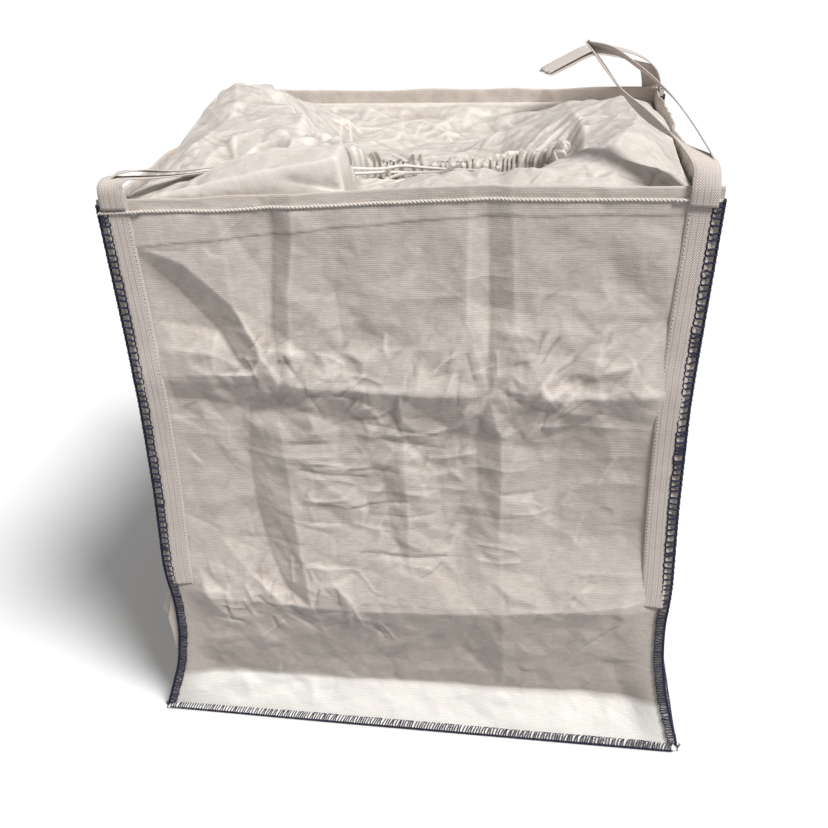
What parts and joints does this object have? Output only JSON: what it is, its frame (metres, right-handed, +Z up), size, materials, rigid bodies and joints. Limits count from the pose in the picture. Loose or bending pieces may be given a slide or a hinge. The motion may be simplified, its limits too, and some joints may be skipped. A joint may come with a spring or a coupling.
{
  "type": "bulk bag",
  "caption": "Square woven bulk bag with a base, sewn corner fins, four cross-corner lift loops and a gathered duffle top tucked into its mouth.",
  "frame": {"origin": "centre of the base on the floor", "axes": "+Z up through the mouth; +X to the right and +Y to the back, seen from the front panel"},
  "size_m": [0.921, 0.935, 1.1827],
  "materials": {
    "woven_fabric": "laminated flat-tape weave, low sheen",
    "duffle_fabric": "thin crumpled tape weave",
    "webbing": "ribbed webbing, matt",
    "seam_thread": "twisted overlock yarn",
    "sewing_thread": "twisted sewing yarn",
    "cord": "soft twisted cord"
  },
  "bodies": {
    "bag": {"front_panel": "woven_fabric", "back_panel": "woven_fabric", "left_panel": "woven_fabric", "right_panel": "woven_fabric", "base_panel": "woven_fabric", "corner_thread_front_left": "seam_thread", "corner_thread_front_right": "seam_thread", "corner_thread_back_left": "seam_thread", "corner_thread_back_right": "seam_thread", "base_thread_front": "seam_thread", "base_thread_back": "seam_thread", "base_thread_left": "seam_thread", "base_thread_right": "seam_thread", "hem_stitch_front": "sewing_thread", "hem_stitch_back": "sewing_thread", "hem_stitch_left": "sewing_thread", "hem_stitch_right": "sewing_thread", "leg_sewing": "sewing_thread", "end_leg_front_left": "webbing", "side_leg_front_left": "webbing", "end_leg_front_right": "webbing", "side_leg_front_right": "webbing", "end_leg_back_left": "webbing", "side_leg_back_left": "webbing", "end_leg_back_right": "webbing", "side_leg_back_right": "webbing", "duffle_front": "duffle_fabric", "duffle_back": "duffle_fabric", "duffle_left": "duffle_fabric", "duffle_right": "duffle_fabric"},
    "loop_front_left": {"lift_loop_front_left": "webbing"},
    "loop_front_right": {"lift_loop_front_right": "webbing"},
    "loop_back_left": {"lift_loop_back_left": "webbing"},
    "loop_back_right": {"lift_loop_back_right": "webbing"},
    "duffle_neck": {"duffle_hem": "duffle_fabric", "drawcord": "cord", "tie_cord": "cord"}
  },
  "joints": [
    {"name": "loop_swing_front_left", "type": "hinge", "parent": "bag", "child": "loop_front_left", "pos_m": [-0.41783, -0.43583, 1.005], "axis": [-0.7071, 0.7071, 0], "range_deg": [-140, 3]},
    {"name": "loop_swing_front_right", "type": "hinge", "parent": "bag", "child": "loop_front_right", "pos_m": [0.41783, -0.43583, 1.005], "axis": [-0.7071, -0.7071, 0], "range_deg": [-115, 28]},
    {"name": "loop_swing_back_left", "type": "hinge", "parent": "bag", "child": "loop_back_left", "pos_m": [-0.41783, 0.43583, 1.005], "axis": [0.7071, 0.7071, 0], "range_deg": [-140, 3]},
    {"name": "loop_swing_back_right", "type": "hinge", "parent": "bag", "child": "loop_back_right", "pos_m": [0.41783, 0.43583, 1.005], "axis": [0.7071, -0.7071, 0], "range_deg": [-130, 13]},
    {"name": "neck_lift", "type": "slide", "parent": "bag", "child": "duffle_neck", "axis": [0, 0, 1], "range_m": [0, 0.4], "deforming": ["duffle_front", "duffle_back", "duffle_left", "duffle_right"]}
  ]
}
